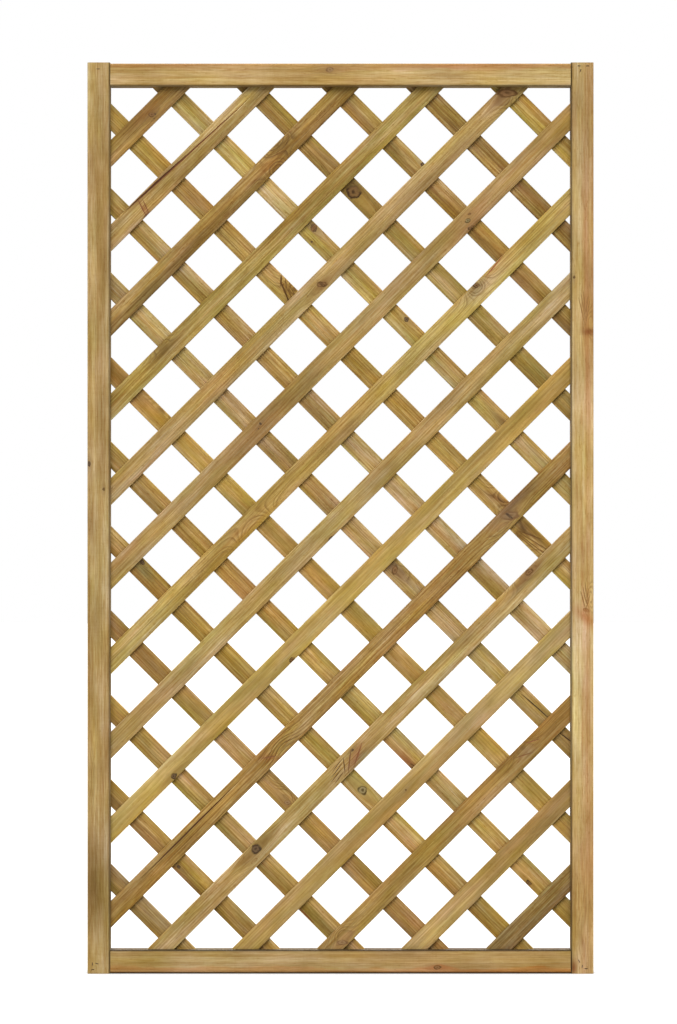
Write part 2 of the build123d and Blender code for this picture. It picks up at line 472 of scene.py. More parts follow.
# Pine that was planed and then soaked in a green-brown preservative. The eye gets warm streaky wood with
# soft olive clouds, knots that the rings flow round, drying splits, and painted shade where the boards meet.
@dataclass(frozen=True)
class PineFinish:
    """The finish of one board of planed, pressure-treated pine.

    origin is the middle of its broad face and slope the way it runs, as its pattern follows the board.
    tint is how strongly its hue varies. inward is the way that a member of the frame faces the opening,
    and inner_shade how light that face is painted against the others, as painted shade.
    """

    shading: PineShading
    board: Board
    origin: tuple[float, float, float]
    slope: float
    seed: int
    tint: float
    inward: tuple[float, float, float] | None = None
    inner_shade: float = 1.0

    # How deep a knot's border and a split lie in the face, in millimetres
    border_depth: ClassVar[float] = 0.25
    split_depth: ClassVar[float] = 0.6

    def _tones(self, add: Adder, place: Any, flat: Any) -> list[Any]:
        """The colours of the early wood, the late wood and the streaks, which may differ below an edge.

        Args:
            add: Adds a node to the material.
            place: The place on the board, as the knots move it.
            flat: The same, unmoved.

        Returns:
            Three colours, or nodes that give them.
        """
        board = self.board
        if not board.low_tone:
            return [linear(tone) for tone in board.tone.value]
        # The edge between the tones is 5 mm wide and wanders, over about 80 mm of the board's length
        wobble = add("TexNoise", {"Vector": flat, "Scale": 0.012, "Detail": 3.0})
        wobble = add("MapRange", wobble, 0.0, 1.0, -14.0, 14.0)
        across = add("Math.ADD", add("SeparateXYZ", place).outputs["Z"], wobble)
        side = add("MapRange", across, board.low_edge - 2.5, board.low_edge + 2.5, **SOFT)
        pairs = zip(board.low_tone.value, board.tone.value)
        return [add("Mix", side, linear(low), linear(high), data_type="RGBA") for low, high in pairs]

    def _marked(
        self, add: Adder, flat: Any, knots: list[tuple[Knot, bpy.types.Node]], grain: bpy.types.Node
    ) -> tuple[Any, Any]:
        """Draw the board's stains, knots and splits over its grain, with the dips that they leave.

        Args:
            add: Adds a node to the material.
            flat: The place on the board, unmoved.
            knots: Each knot, with the group that shapes it.
            grain: The group that gives the grain.

        Returns:
            The colour and the height.
        """
        colour, height = grain.outputs["Color"], grain.outputs["Height"]
        for stain in self.board.marks_of(Stain):
            patch = add("Group", stain.sockets(flat), node_tree=self.shading.bulge)
            patch = add("Math.MULTIPLY", patch, stain.strength)
            # The stain's colour against the board's own, so that the grain stays under it
            parts = zip(linear(stain.colour)[:3], linear(self.board.tone.value[0])[:3])
            ratio = tuple(wanted / own for wanted, own in parts)
            tint = add("Mix", patch, (1, 1, 1), ratio, data_type="VECTOR")
            colour = add("VectorMath.MULTIPLY", colour, tint)
        for knot, shape in knots:
            core, ring = (linear(tint) for tint in knot.kind.value)
            parts = (("Halo", core, 0.3), ("Core", core, 0.92), ("Border", ring, 1.0), ("Eye", ring, 0.9))
            for part, tint, share in parts:
                amount = add("Math.MULTIPLY", shape.outputs[part], share)
                colour = add("Mix", amount, colour, tint, data_type="RGBA")
            height = add("Math.MULTIPLY_ADD", shape.outputs["Border"], -self.border_depth, height)
        for split in self.board.marks_of(Split):
            line = add("Group", split.sockets(flat), node_tree=self.shading.split)
            colour = add("Mix", line, colour, linear(split.colour), data_type="RGBA")
            height = add("Math.MULTIPLY_ADD", line, -self.split_depth, height)
        return colour, height

    def _painted_shade(self, add: Adder) -> bpy.types.Node:
        """How light the wood is painted: painted shade in its corners and on the faces turned from the light,
        and a painted highlight on a lath's arrises.

        Args:
            add: Adds a node to the material.

        Returns:
            The node that gives it.
        """
        # Painted shade: the wood is drawn darker where boards meet, within about 5 mm of the joint
        nearness = add("AmbientOcclusion", {"Distance": 4.5 * MM}, samples=6)
        painted_corner_shade = add("MapRange", nearness.outputs["AO"], 0.4, 0.85, 0.68, 1.0)
        normal = add("NewGeometry").outputs["Normal"]
        if self.inward:
            # Painted shade: the inner faces of the frame, turned from the light, are drawn much darker
            painted_face_shading = add("MapRange", add("VectorMath.DOT_PRODUCT", normal, self.inward), 0.05, 1.0, 1.0, 0.0)
            painted_face_shading = add("Math.MAXIMUM", add("Math.POWER", painted_face_shading, 1.6), self.inner_shade)
        else:
            # Painted highlight on a lath's arrises, and painted shade on its narrow faces, which are drawn
            # darker than the broad ones
            level = add("Math.ABSOLUTE", add("SeparateXYZ", normal).outputs["Y"])
            painted_face_shading = add("MapRange", level, 0.6, 0.25, 1.0, 0.6)
            painted_face_shading = add("Math.MULTIPLY", painted_face_shading, add("MapRange", level, 0.98, 0.85, 1.0, 1.18))
        return add("Math.MULTIPLY", painted_corner_shade, painted_face_shading)

    def material(self, name: str) -> bpy.types.Material:
        """Make the material.

        Args:
            name: Its name.

        Returns:
            The material, for a mesh at the origin.
        """
        board, shading = self.board, self.shading
        material = bpy.data.materials.new(name)
        add = emptied(material)
        chance = random.Random(self.seed)
        flat = place = add(
            "Mapping",
            add("TexCoord").outputs["Object"],
            self.origin,
            (0, -self.slope, 0),
            (MM, MM, MM),
            vector_type="TEXTURE",
        )
        knots = []
        for knot in board.marks_of(Knot):
            place = add("Group", knot.sockets(place), node_tree=shading.knot)
            knots.append((knot, place))
        rise, contrast = 0.0, board.contrast
        for swirl in board.marks_of(Swirl):
            mound = add("Group", swirl.sockets(flat), node_tree=shading.bulge)
            rise = add("Math.MULTIPLY_ADD", mound, swirl.rise, rise)
            contrast = add("Math.MULTIPLY_ADD", mound, swirl.depth, contrast)
        early, late, streak = self._tones(add, place, flat)
        sockets = {
            "Place": place,
            "Pith": (0, *board.pith),
            "Shift": tuple(chance.uniform(0, 5000) for _ in range(3)),
            "Ring Width": board.ring,
            "Rise": rise,
            "Sway": board.sway,
            "Contrast": contrast,
            "Figure": board.figure,
            "Tint": self.tint,
            "Lightness": board.lightness,
            "Early": early,
            "Late": late,
            "Streak": streak,
        }
        grain = add("Group", sockets, node_tree=shading.grain)
        colour, height = self._marked(add, flat, knots, grain)
        # The height is in millimetres, so the distance that a height of 1 stands for is one of them
        sockets = {
            "Base Color": add("VectorMath.SCALE", colour, self._painted_shade(add)),
            "Roughness": grain.outputs["Roughness"],
            "Specular IOR Level": 0.2,
            "Normal": add("Bump", {"Height": height, "Distance": MM, "Strength": 1.0}),
        }
        add("OutputMaterial", add("BsdfPrincipled", sockets))
        return material


class WireAge(Enum):
    """How weathered a staple is: its zinc, its rust, and how much of it is rusty."""

    GALVANISED = ("A9A9A4", "7A5233", 0.1)
    RUSTED = ("6E675C", "5A3418", 0.6)


# Drawn steel wire, hot-dip galvanised. The eye gets a dull grey gleam, a little mottled by the zinc's
# spangles, with matt brown rust where it has worn through.
@dataclass(frozen=True)
class WireFinish:
    """The finish of galvanised steel wire of one age; speck is the width of its spangles and rust spots."""

    age: WireAge
    speck: float = 1.5 * MM

    def material(self) -> bpy.types.Material:
        """Make the material.

        Returns:
            The material.
        """
        zinc, rust, share = self.age.value
        material = bpy.data.materials.new(f"{self.age.name.lower()}_wire")
        add = emptied(material)
        place = add("TexCoord").outputs["Object"]
        noise = add("TexNoise", {"Vector": place, "Scale": 1 / self.speck, "Detail": 3.0})
        # The more of the wire is rusty, the lower the noise at which the rust starts
        rusty = add("MapRange", noise, 0.66 - 0.4 * share, 0.78 - 0.4 * share)
        sockets = {
            "Base Color": add("Mix", rusty, linear(zinc), linear(rust), data_type="RGBA"),
            "Metallic": add("MapRange", rusty, 0.0, 1.0, 0.85, 0.1),
            "Roughness": add("MapRange", noise, 0.0, 1.0, 0.35, 0.75),
            "Normal": add("Bump", {"Height": noise, "Distance": 0.1 * MM, "Strength": 1.0}),
        }
        add("OutputMaterial", add("BsdfPrincipled", sockets))
        return material


def shaped(
    name: str, source: bpy.types.Mesh, tree: bpy.types.NodeTree, values: dict[str, Any]
) -> bpy.types.Object:
    """Run a geometry tree on a mesh and keep the result as a plain mesh.

    Args:
        name: The name of the piece.
        source: The mesh that the tree is given.
        tree: The tree.
        values: What its named inputs take.

    Returns:
        The piece, at the origin, in the scene.
    """
    base = bpy.data.objects.new(f"{name}_base", source)
    bpy.context.scene.collection.objects.link(base)
    modifier = base.modifiers.new(tree.name, "NODES")
    modifier.node_group = tree
    for item in tree.interface.items_tree:
        if item.item_type == "SOCKET" and item.in_out == "INPUT" and item.name in values:
            modifier[item.identifier] = values[item.name]
    evaluated = base.evaluated_get(bpy.context.evaluated_depsgraph_get())
    mesh = bpy.data.meshes.new_from_object(evaluated)
    bpy.data.objects.remove(base)
    mesh.name = name
    mesh.shade_smooth()
    mesh.set_sharp_from_angle(angle=CRISP)
    piece = bpy.data.objects.new(name, mesh)
    bpy.context.scene.collection.objects.link(piece)
    return piece


@dataclass
class Lattice:
    """The two layers of laths, front ones rising to the right and back ones to the left.

    corner_laths are the lengths of the short laths at a top corner and at the bottom corner across from
    it. The faces stray within waviness, in long waves with ripples on them, and the edges edge_share
    times as far. sections is the number of cuts across a lath.
    """

    shading: PineShading
    front_boards: tuple[Board, ...]
    back_boards: tuple[Board, ...]
    width: float = 38 * MM
    corner_laths: tuple[float, float] = (215 * MM, 229 * MM)
    arris: float = 1.2 * MM
    slope: float = math.radians(45)
    waviness: float = 0.25 * MM
    wave_length: float = 200 * MM
    ripple_length: float = 25 * MM
    ripple_share: float = 0.4
    edge_share: float = 3.0
    sections: int = 60
    arris_steps: int = 3
    front_tint: float = 1.0
    back_tint: float = 1.3
    field_side: float = field(init=False)
    field_reach: float = field(init=False)
    middle_height: float = field(init=False)
    thickness: float = field(init=False)
    places: list[float] = field(init=False)

    def __post_init__(self) -> None:
        """Work out from the frame where the laths lie."""
        low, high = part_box("front_lath_08")
        self.thickness = high.y - low.y
        self.field_side = high.x
        panel_low, panel_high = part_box("left_stile")
        self.middle_height = (panel_low.z + panel_high.z) / 2
        self.field_reach = self.middle_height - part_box("front_lath_15")[0].z
        sine, cosine = math.sin(self.slope), math.cos(self.slope)
        corner_to_corner = 2 * (self.field_side * sine + self.field_reach * cosine)
        top_space, bottom_space = (length * sine * cosine for length in self.corner_laths)
        count = len(self.front_boards)
        pitch = (corner_to_corner - top_space - bottom_space) / (count - 1)
        self.places = [corner_to_corner / 2 - top_space - number * pitch for number in range(count)]

    def tree(self) -> bpy.types.NodeTree:
        """Shape one lath, cut to the field inside the frame, with slightly wavy faces.

        Returns:
            The tree that does it.
        """
        tree, add, given, result = new_group(
            "Geometry",
            "lath",
            {
                "Geometry": ("Geometry",),
                "Float": (
                    "Slope", "Place", "Width", "Thickness", "Arris", "Face", "Middle Height",
                    "Field Side", "Field Reach", "Waviness", "Seed",
                ),
                "Material": ("Material",),
            },
            {"Geometry": ("Geometry",)},
        )
        line = add("CurvePrimitiveLine", {"Start": (0, 0, 0), "End": (1, 0, 0)})
        line = add("ResampleCurve", {"Curve": line, "Count": self.sections})
        section = add("CurvePrimitiveQuadrilateral", {"Width": given["Thickness"], "Height": given["Width"]})
        rounded = {"Curve": section, "Radius": given["Arris"], "Count": self.arris_steps}
        section = add("FilletCurve", rounded, mode="POLY")
        body = add("CurveToMesh", {"Curve": line, "Profile Curve": section, "Fill Caps": True})
        share, depth, across = add("SeparateXYZ", add("InputPosition")).outputs
        sine, cosine = add("Math.SINE", given["Slope"]), add("Math.COSINE", given["Slope"])
        place = add("Math.ADD", given["Place"], across)
        # How far along the lath its own line enters and leaves the field, from the sides and from the ends
        lean, climb = add("Math.MULTIPLY", place, sine), add("Math.MULTIPLY", place, cosine)
        side, reach = given["Field Side"], given["Field Reach"]
        right = add("Math.DIVIDE", add("Math.ADD", lean, side), cosine)
        left = add("Math.DIVIDE", add("Math.SUBTRACT", lean, side), cosine)
        top = add("Math.DIVIDE", add("Math.SUBTRACT", reach, climb), sine)
        below = add("Math.MULTIPLY", add("Math.ADD", reach, climb), -1.0)
        bottom = add("Math.DIVIDE", below, sine)
        start = add("Math.MAXIMUM", left, add("Math.MINIMUM", top, bottom))
        end = add("Math.MINIMUM", right, add("Math.MAXIMUM", top, bottom))
        along = add("MapRange", share, 0.0, 1.0, start, end)
        # The faces and edges wander a little, about the middle of the noise
        spot = {"Vector": add("CombineXYZ", along, depth, across), "W": given["Seed"]}
        wave, ripple = (
            add("TexNoise", spot | {"Scale": 1 / length}, noise_dimensions="4D").outputs["Color"]
            for length in (self.wave_length, self.ripple_length)
        )
        wave = add("VectorMath.SUBTRACT", wave, (0.5, 0.5, 0.5))
        ripple = add("VectorMath.SUBTRACT", ripple, (0.5, 0.5, 0.5))
        wave = add("VectorMath.ADD", wave, add("VectorMath.SCALE", ripple, self.ripple_share))
        wave = add("VectorMath.SCALE", wave, given["Waviness"])
        _, inwards, sideways = add("SeparateXYZ", wave).outputs
        place = add("Math.ADD", place, add("Math.MULTIPLY", sideways, self.edge_share))
        lean, climb = add("Math.MULTIPLY", place, sine), add("Math.MULTIPLY", place, cosine)
        x = add("Math.SUBTRACT", add("Math.MULTIPLY", along, cosine), lean)
        y = add("Math.ADD", add("Math.ADD", depth, given["Face"]), inwards)
        z = add("Math.ADD", add("Math.MULTIPLY_ADD", along, sine, climb), given["Middle Height"])
        body = add("SetPosition", {"Geometry": body, "Position": add("CombineXYZ", x, y, z)})
        body = add("RealizeInstances", {"Geometry": body})
        body = add("SetMaterial", {"Geometry": body, "Material": given["Material"]})
        feed(result, {"Geometry": body})
        return tree

    def build(self) -> None:
        """Make every lath, front ones first."""
        tree = self.tree()
        shared = {
            "Width": self.width,
            "Thickness": self.thickness,
            "Arris": self.arris,
            "Middle Height": self.middle_height,
            "Field Side": self.field_side,
            "Field Reach": self.field_reach,
            "Waviness": self.waviness,
        }
        for layer, boards, way, tint, first_seed in (
            ("front", self.front_boards, 1, self.front_tint, 1),
            ("back", self.back_boards, -1, self.back_tint, 101),
        ):
            slope = way * self.slope
            face = -way * self.thickness / 2
            for number, (board, place) in enumerate(zip(boards, self.places)):
                name = f"{layer}_lath_{number + 1:02d}"
                seed = first_seed + number
                origin = (-place * math.sin(slope), face, self.middle_height + place * math.cos(slope))
                finish = PineFinish(self.shading, board, origin, slope, seed, tint)
                own = {
                    "Slope": slope,
                    "Place": place,
                    "Face": face,
                    "Seed": float(seed),
                    "Material": finish.material(f"pine_{name}"),
                }
                piece = shaped(f"dressed_{name}", bpy.data.meshes.new(f"{name}_source"), tree, shared | own)
                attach(piece, "root")
                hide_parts(name)
                log.info("%s: %d faces", piece.name, len(piece.data.polygons))


@dataclass(frozen=True)
class StapleSet:
    """A set of staples: their sizes, the way that they are driven along Y, and how far their turns stray."""

    name: str
    crown: float
    wire: float
    leg: float
    drive: float
    wobble: float
    seed: int
    age: WireAge

    def sockets(self) -> dict[str, Any]:
        """Match its sizes to the tree that shapes it.

        Returns:
            What the named inputs of the tree take.
        """
        sizes = ("crown", "wire", "leg", "drive", "wobble", "seed")
        values = {size.title(): getattr(self, size) for size in sizes}
        return values | {"Material": WireFinish(self.age).material()}


@dataclass
class Fastenings:
    """The wire staples: one at each crossing, driven from the back, and those that pin the corners.

    edge_rounding is the radius of the wire's own edges against its width, and bend_steps and edge_steps
    are the points on each rounding of its path and of its section.
    """

    lattice: Lattice
    lath_staples: StapleSet = StapleSet(
        "lath_staples",
        crown=10 * MM,
        wire=1.2 * MM,
        leg=6 * MM,
        drive=-1.0,
        wobble=math.radians(5),
        seed=4,
        age=WireAge.GALVANISED,
    )
    corner_staples: StapleSet = StapleSet(
        "corner_staples",
        crown=6 * MM,
        wire=1.5 * MM,
        leg=12 * MM,
        drive=1.0,
        wobble=0.0,
        seed=5,
        age=WireAge.RUSTED,
    )
    crossing_proud: float = 0.5 * MM
    crossing_margin: float = 10 * MM
    corner_sink: float = 0.8 * MM
    member_width: float = 45 * MM
    rail_setback: float = 2 * MM
    tongue_width: float = 33 * MM
    edge_rounding: float = 0.28
    bend_steps: int = 4
    edge_steps: int = 2

    # Places of the corner staples: how far across the stile from its inner face and across the tongue of
    # the rail from its outer edge, as shares of their widths, and the turn of the crown in degrees
    corner_places: ClassVar[dict[tuple[str, str], list[tuple[float, float, float]]]] = {
        ("left", "top"): [(0.53, 0.33, 0)],
        ("right", "top"): [(0.36, 0.15, 0), (0.73, 0.15, 0), (0.42, 0.44, 70)],
        ("left", "bottom"): [(0.78, 0.52, 90), (0.58, 0.55, -20), (0.76, 0.18, 10)],
        ("right", "bottom"): [(0.36, 0.70, -60), (0.50, 0.38, 80), (0.67, 0.24, 0)],
    }

    def tree(self) -> bpy.types.NodeTree:
        """Stand a bent wire staple on every point, turned by the point's own angle.

        Returns:
            The tree that does it.
        """
        tree, add, given, result = new_group(
            "Geometry",
            "staples",
            {
                "Geometry": ("Geometry",),
                "Float": ("Crown", "Wire", "Leg", "Drive", "Wobble"),
                "Int": ("Seed",),
                "Material": ("Material",),
            },
            {"Geometry": ("Geometry",)},
        )
        wire = given["Wire"]
        # Four points: foot, shoulder, shoulder, foot
        line = add("MeshLine", {"Count": 4})
        index = add("InputIndex")
        side = add("Math.SUBTRACT", add("Math.GREATER_THAN", index, 1.5), 0.5)
        x = add("Math.MULTIPLY", side, add("Math.SUBTRACT", given["Crown"], wire))
        foot = add("Math.ABSOLUTE", add("Math.SUBTRACT", index, 1.5))
        foot = add("Math.GREATER_THAN", foot, 1.0)
        depth = add("Math.MULTIPLY_ADD", foot, given["Leg"], add("Math.MULTIPLY", wire, 0.5))
        y = add("Math.MULTIPLY", depth, given["Drive"])
        line = add("SetPosition", {"Geometry": line, "Position": add("CombineXYZ", x, y, 0)})
        path = add("MeshToCurve", {"Mesh": line})
        path = add("FilletCurve", {"Curve": path, "Radius": wire, "Count": self.bend_steps}, mode="POLY")
        section = add("CurvePrimitiveQuadrilateral", {"Width": wire, "Height": wire})
        rounding = add("Math.MULTIPLY", wire, self.edge_rounding)
        rounded = {"Curve": section, "Radius": rounding, "Count": self.edge_steps}
        section = add("FilletCurve", rounded, mode="POLY")
        bent = add("CurveToMesh", {"Curve": path, "Profile Curve": section, "Fill Caps": True})
        turn = add("InputNamedAttribute", {"Name": "turn"})
        wobble = given["Wobble"]
        low = add("Math.MULTIPLY", wobble, -1.0)
        chance = add("RandomValue", {"Min": low, "Max": wobble, "Seed": given["Seed"]})
        turn = add("CombineXYZ", 0, add("Math.ADD", turn, chance), 0)
        placed = add("InstanceOnPoints", {"Points": given["Geometry"], "Instance": bent, "Rotation": turn})
        placed = add("RealizeInstances", {"Geometry": placed})
        placed = add("SetMaterial", {"Geometry": placed, "Material": given["Material"]})
        feed(result, {"Geometry": placed})
        return tree

    def crossing_points(self) -> list[tuple[float, float, float, float]]:
        """Find every crossing of two laths that lies clear of the frame.

        Returns:
            The place of each crown, and its turn.
        """
        lattice = self.lattice
        depth = lattice.thickness + self.crossing_proud
        open_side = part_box("right_stile")[0].x - self.crossing_margin
        open_reach = lattice.middle_height - self.rail_setback - self.member_width - self.crossing_margin
        places = []
        for back in lattice.places:
            for front in lattice.places:
                x = (back - front) / (2 * math.sin(lattice.slope))
                rise = (back + front) / (2 * math.cos(lattice.slope))
                if abs(x) <= open_side and abs(rise) <= open_reach:
                    places.append((x, depth, lattice.middle_height + rise, 0.0))
        return places

    def corner_points(self) -> list[tuple[float, float, float, float]]:
        """Find where the corner staples stand.

        Returns:
            The place of each crown, and its turn.
        """
        low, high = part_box("left_stile")
        placed = []
        for (side, end), places in self.corner_places.items():
            for share_in, share_down, turn in places:
                x = high.x - share_in * self.member_width
                z = self.rail_setback + share_down * self.tongue_width
                x, z = x if side == "left" else -x, z if end == "bottom" else high.z - z
                placed.append((x, low.y + self.corner_sink, z, -math.radians(turn)))
        return placed

    def build(self) -> None:
        """Make both sets of staples."""
        tree = self.tree()
        sets = (self.lath_staples, self.crossing_points()), (self.corner_staples, self.corner_points())
        for staples, places in sets:
            name = staples.name
            source = bpy.data.meshes.new(f"{name}_points")
            source.from_pydata([place[:3] for place in places], [], [])
            turns = source.attributes.new("turn", "FLOAT", "POINT")
            turns.data.foreach_set("value", [place[3] for place in places])
            piece = shaped(f"dressed_{name}", source, tree, staples.sockets())
            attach(piece, "root")
            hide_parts(name)
            log.info("%s: %d faces", piece.name, len(piece.data.polygons))


@dataclass
class PanelFrame:
    """The two stiles and the two rails, each with the grain of its own board."""

    shading: PineShading
    boards: dict[str, Board]
    tint: float = 0.6
    first_seed: int = 201

    # Which way each member faces the opening, and how light that face is painted against the others, as
    # painted shade
    inner_faces: ClassVar[dict[str, tuple[tuple[int, int, int], float]]] = {
        "left_stile": ((1, 0, 0), 0.5),
        "right_stile": ((-1, 0, 0), 0.32),
        "top_rail": ((0, 0, -1), 0.5),
        "bottom_rail": ((0, 0, 1), 0.12),
    }

    def build(self) -> None:
        """Dress the members."""
        for number, (name, board) in enumerate(self.boards.items()):
            low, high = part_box(name)
            slope = math.radians(90) if name.endswith("stile") else 0.0
            inward, shade = self.inner_faces[name]
            finish = PineFinish(
                self.shading,
                board,
                origin=tuple((low + high) / 2),
                slope=slope,
                seed=self.first_seed + number,
                tint=self.tint,
                inward=inward,
                inner_shade=shade,
            )
            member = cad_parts[name]
            member.material_slots[0].material = finish.material(f"pine_{name}")
            log.info("%s: %d faces", name, len(member.data.polygons))


@dataclass(frozen=True)
class Sun:
    """A soft distant light: how strong it is, how high it stands, and its bearing from the front."""

    strength: float
    elevation: float
    bearing: float


@dataclass
class Studio:
    """The floor, the light and the camera."""

    picture_size: tuple[int, int] = (677, 1024)
    millimetres_per_pixel: float = 1.975
    panel_centre_column: float = 340.5
    centre_height: float = 0.912
    camera_height: float = 0.9
    camera_distance: float = 9.0
    sensor_width: float = 36.0
    view_end: float = 100.0
    sun_width: float = math.radians(45)
    suns: tuple[Sun, ...] = (
        Sun(2.57, math.radians(44), math.radians(-4)),
        Sun(2.1, math.radians(32), math.radians(184)),
        Sun(1.2, math.radians(25), math.radians(90)),
        Sun(1.2, math.radians(25), math.radians(-90)),
    )
    sky_strength: float = 0.09
    floor_reach: float = 30.0
    floor_glow: float = 0.88
    contact_shadow: float = 60 * MM

    def camera(self) -> None:
        """Set the camera in front of the panel, level, at the middle of its height."""
        width, height = self.picture_size
        view_height = height * self.millimetres_per_pixel * MM
        data = bpy.data.cameras.new("camera")
        data.sensor_width = self.sensor_width
        data.lens = self.sensor_width * self.camera_distance / view_height
        data.shift_x = (width / 2 - self.panel_centre_column) / height
        data.shift_y = (self.centre_height - self.camera_height) / view_height
        data.clip_end = self.view_end
        camera = bpy.data.objects.new("camera", data)
        front_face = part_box("left_stile")[0].y
        camera.location = (0, front_face - self.camera_distance, self.camera_height)
        camera.rotation_euler = (math.radians(90), 0, 0)
        bpy.context.scene.collection.objects.link(camera)
        bpy.context.scene.camera = camera

    def lamps(self) -> None:
        """Light the panel softly from above, in front and behind, evenly from top to bottom."""
        for number, sun in enumerate(self.suns, start=1):
            data = bpy.data.lights.new(f"sun_{number}", "SUN")
            data.energy = sun.strength
            data.angle = self.sun_width
            lamp = bpy.data.objects.new(f"sun_{number}", data)
            level = math.cos(sun.elevation)
            towards = (level * math.sin(sun.bearing), -level * math.cos(sun.bearing), math.sin(sun.elevation))
            lamp.rotation_euler = Vector(towards).to_track_quat("Z", "Y").to_euler()
            bpy.context.scene.collection.objects.link(lamp)

    def seen(self, add: Adder) -> bpy.types.Node:
        """Tell the rays that show the background from those that light the panel.

        Args:
            add: Adds a node to the tree.

        Returns:
            The node that gives 1 for the camera's own rays and for those that gloss or glass sends on.
        """
        path = add("LightPath").outputs
        seen = add("Math.MAXIMUM", path["Is Camera Ray"], path["Is Glossy Ray"])
        return add("Math.MAXIMUM", seen, path["Is Transmission Ray"])

    def sky(self) -> None:
        """Give the world a soft even light, and a white that the camera and glossy things see."""
        world = bpy.data.worlds.new("sky")
        bpy.context.scene.world = world
        add = emptied(world)
        lit = add("Background", {"Color": linear("FFFFFF"), "Strength": self.sky_strength})
        white = add("Background", {"Color": linear("FFFFFF"), "Strength": 1.0})
        add("OutputWorld", add("MixShader", self.seen(add), lit, white))

    def floor(self) -> None:
        """Lay a backdrop under the panel."""
        reach = self.floor_reach
        mesh = bpy.data.meshes.new("floor")
        corners = [(-reach, -reach, 0), (reach, -reach, 0), (reach, reach, 0), (-reach, reach, 0)]
        mesh.from_pydata(corners, [], [(0, 1, 2, 3)])
        floor = bpy.data.objects.new("floor", mesh)
        bpy.context.scene.collection.objects.link(floor)
        # Matt vinyl, unrolled flat. The eye gets an even white with the panel's soft shadow in it, partly
        # cast and partly a painted contact shadow where its glow dims near the panel.
        material = bpy.data.materials.new("white_vinyl_backdrop")
        add = emptied(material)
        # Painted contact shadow: the white glow dims within contact_shadow of the panel
        nearness = add("AmbientOcclusion", {"Distance": self.contact_shadow}, samples=8)
        glow = add("Math.MULTIPLY", self.seen(add), self.floor_glow)
        glow = add("Math.MULTIPLY", glow, nearness.outputs["AO"])
        matt = add("BsdfDiffuse", {"Color": linear("ACACAC")})
        light = add("Emission", {"Color": linear("FFFFFF"), "Strength": glow})
        add("OutputMaterial", add("AddShader", matt, light))
        mesh.materials.append(material)

    def build(self) -> None:
        """Set up the floor, the light and the camera."""
        self.camera()
        self.lamps()
        self.sky()
        self.floor()
        bpy.context.scene.view_settings.view_transform = "Standard"
        log.info("studio ready")


# The members, as the photograph shows them
MEMBER_BOARDS = {
    "left_stile": Board(Tone.FLAX, pith=(40, -75), contrast=0.35, figure=0.7, marks=(
        Knot(107, 19, 2.6, KnotKind.DARK, 1.6), Knot(57, -10, 2.0, KnotKind.BROWN),
        Swirl(-517, 12, 60, 12, 9), Stain(720, 16, 100, 10, "A27C44", 0.7),
        Stain(380, -14, 260, 14, "BCA270", 0.6), Stain(-10, 16, 32, 10, "9C7E4C", 0.6),
        Stain(-500, -14, 160, 10, "A58450", 0.5), Stain(-190, 4, 190, 30, "B0955A", 0.5),
        Stain(-740, 4, 100, 30, "7E622E", 0.85),
    )),
    "right_stile": Board(
        Tone.IVORY, pith=(40, 80), ring=4.6, contrast=0.35, figure=0.6, low_tone=Tone.WHEAT, low_edge=-1.0,
        marks=(
            Stain(800, 0, 130, 40, "AA8E5C", 0.8), Stain(470, 0, 120, 40, "B89A66", 0.5),
            Stain(-70, -4, 130, 30, "DCC890", 0.6), Stain(-760, 0, 170, 40, "BC9C66", 0.6),
            Stain(0, 12, 330, 14, "D8BC84", 0.6), Stain(-197, -8, 30, 12, "BC8044", 0.8, 50),
            Stain(368, -15, 7, 16, "9E6838", 0.85), Knot(-182, -8, 3.4, KnotKind.ORANGE, 1.8, 60),
            Knot(476, 16, 2.0, KnotKind.BROWN), Swirl(-156, -12, 34, 12, 17, 1.0),
            Swirl(384, -12, 34, 12, 17, 1.0), Split(-182, -7, -144, 3, 1.4, "966A3A"),
            Split(-182, -7, -148, -16, 1.4, "966A3A"), Split(-170, -8, -134, -1, 1.4, "966A3A"),
            Split(-170, -8, -138, -13, 1.4, "966A3A"), Split(-158, -8, -128, -6, 1.4, "966A3A"),
            Split(380, -6, 438, 8, 1.3, "A07442"), Split(380, -6, 430, -15, 1.3, "A07442"),
            Split(392, -6, 446, 3, 1.3, "A07442"), Split(392, -6, 440, -11, 1.3, "A07442"),
            Split(404, -6, 450, -2, 1.3, "A07442"), Swirl(-820, 6, 60, 12, 10),
            Stain(-888, 17, 16, 7, "8E4A26", 0.8),
        ),
    ),
    "top_rail": Board(
        Tone.WHEAT, pith=(40, 80), contrast=0.35, figure=0.65, low_tone=Tone.BUFF, low_edge=11.0,
        marks=(
            Knot(-21, 10, 4.5, KnotKind.PINK, 1.5), Swirl(-25, 8, 34, 10, 8),
            Stain(240, 17, 260, 4, "B87C48", 0.5),
        ),
    ),
    "bottom_rail": Board(
        Tone.FLAX, pith=(45, -80), contrast=0.35, figure=0.55, lightness=0.83, low_tone=Tone.RUST,
        low_edge=-12.0,
        marks=(
            Stain(-330, 0, 200, 40, "B0965A", 0.6), Knot(191, -12, 3.5, KnotKind.RED, 1.8),
            Stain(191, -12, 30, 6, "A87440", 0.6),
        ),
    ),
}

